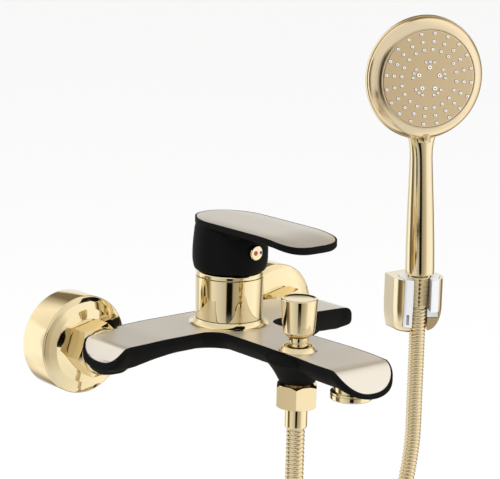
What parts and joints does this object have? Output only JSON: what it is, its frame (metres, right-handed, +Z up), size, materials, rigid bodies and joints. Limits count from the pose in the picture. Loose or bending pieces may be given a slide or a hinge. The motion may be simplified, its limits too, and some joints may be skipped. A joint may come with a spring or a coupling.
{
  "type": "wall mounted bath mixer with hand shower",
  "caption": "Wall mounted single lever bath mixer with a flat topped spout, pull diverter, flexible hose and a hand shower in a wall holder.",
  "frame": {"origin": "midway between the two inlet axes on the wall plane", "axes": "+X along the wall to the right as seen by the user, -Y out of the wall towards the user, +Z up"},
  "size_m": [0.3401, 0.2129, 0.5095],
  "materials": {
    "black_coat": "smooth matte black coating",
    "satin_gold": "pale champagne gold, satin",
    "polished_gold": "polished gold plating",
    "plated_plastic": "gold plated plastic",
    "plain_brass": "machined, unplated",
    "steel": "machined",
    "rubber_black": "matte",
    "plastic_grey": "light grey, satin",
    "plastic_white": "white silicone, matte",
    "plastic_hidden": "matte",
    "ceramic_disc": "polished ceramic",
    "enamel_red": "gloss",
    "enamel_blue": "gloss"
  },
  "bodies": {
    "mixer": {"mixer_body": "black_coat", "body_top_plate": "satin_gold", "wall_flange_left": "polished_gold", "wall_flange_right": "polished_gold", "inlet_connector_left": "plain_brass", "inlet_connector_right": "plain_brass", "inlet_washer_left": "rubber_black", "inlet_washer_right": "rubber_black", "inlet_tail_left": "polished_gold", "inlet_tail_right": "polished_gold", "cartridge_sleeve": "polished_gold", "sleeve_trim_ring": "polished_gold", "cartridge_lock_nut": "plain_brass", "cartridge_housing": "plastic_hidden", "cartridge_seal": "rubber_black", "cartridge_fixed_disc": "ceramic_disc", "diverter_collar": "polished_gold", "outlet_nipple": "plain_brass", "outlet_washer": "rubber_black", "outlet_ferrule": "polished_gold", "hose_outlet_run": "polished_gold", "hose_coil": "polished_gold", "hose_return_run": "polished_gold", "aerator_gasket": "rubber_black", "holder_shell": "plated_plastic", "holder_liner": "plastic_grey", "holder_screw": "steel"},
    "lever_swivel": {"cartridge_stem_carrier": "plastic_hidden", "cartridge_pivot_pin": "steel", "cartridge_moving_disc": "ceramic_disc"},
    "lever": {"lever_stem": "plain_brass", "lever_body": "black_coat", "lever_top_plate": "satin_gold", "lever_grub_screw": "steel", "indicator_button": "polished_gold", "indicator_hot": "enamel_red", "indicator_cold": "enamel_blue"},
    "diverter": {"diverter_knob": "polished_gold", "diverter_stem": "polished_gold", "diverter_seal": "rubber_black"},
    "nut_left": {"union_nut_left": "polished_gold"},
    "nut_right": {"union_nut_right": "polished_gold"},
    "hose_nut_body": {"hose_nut": "polished_gold"},
    "aerator": {"aerator_housing": "polished_gold", "aerator_insert": "plastic_hidden"},
    "hose_end": {"hose_cone_nut": "polished_gold", "handset_washer": "rubber_black"},
    "handset": {"handset_shell": "plated_plastic", "handset_nipple": "plain_brass", "spray_engine": "plastic_hidden"},
    "spray_selector": {"spray_bezel": "plated_plastic", "spray_face": "plated_plastic", "spray_nozzle_mat": "plastic_white"}
  },
  "joints": [
    {"name": "lever_turn", "type": "hinge", "parent": "mixer", "child": "lever_swivel", "pos_m": [0, -0.064, 0.038], "axis": [0, 0, 1], "range_deg": [-45, 45]},
    {"name": "lever_lift", "type": "hinge", "parent": "lever_swivel", "child": "lever", "pos_m": [0, -0.064, 0.038], "axis": [-1, 0, 0], "range_deg": [0, 16]},
    {"name": "diverter_pull", "type": "slide", "parent": "mixer", "child": "diverter", "axis": [0, 0, 1], "range_m": [0, 0.008]},
    {"name": "union_nut_left_turn", "type": "hinge", "parent": "mixer", "child": "nut_left", "pos_m": [-0.075, -0.032, 0], "axis": [0, -1, 0], "continuous": true},
    {"name": "union_nut_right_turn", "type": "hinge", "parent": "mixer", "child": "nut_right", "pos_m": [0.075, -0.032, 0], "axis": [0, -1, 0], "continuous": true},
    {"name": "hose_nut_turn", "type": "hinge", "parent": "mixer", "child": "hose_nut_body", "pos_m": [-0.009, -0.137, -0.014], "axis": [0, 0, 1], "continuous": true},
    {"name": "aerator_turn", "type": "hinge", "parent": "mixer", "child": "aerator", "pos_m": [0, -0.173, -0.006], "axis": [0, 0, 1], "continuous": true},
    {"name": "handset_lift", "type": "slide", "parent": "mixer", "child": "hose_end", "axis": [0, 0, 1], "range_m": [0, 0.045]},
    {"name": "handset_turn", "type": "hinge", "parent": "hose_end", "child": "handset", "pos_m": [0.202, -0.022, 0.007], "axis": [-0.0225, 0.0193, 0.9996], "range_deg": [-8, 60]},
    {"name": "spray_select", "type": "hinge", "parent": "handset", "child": "spray_selector", "pos_m": [0.199, -0.01943, 0.14044], "axis": [-0.3908, -0.9204, 0.009], "range_deg": [-20, 20]}
  ]
}
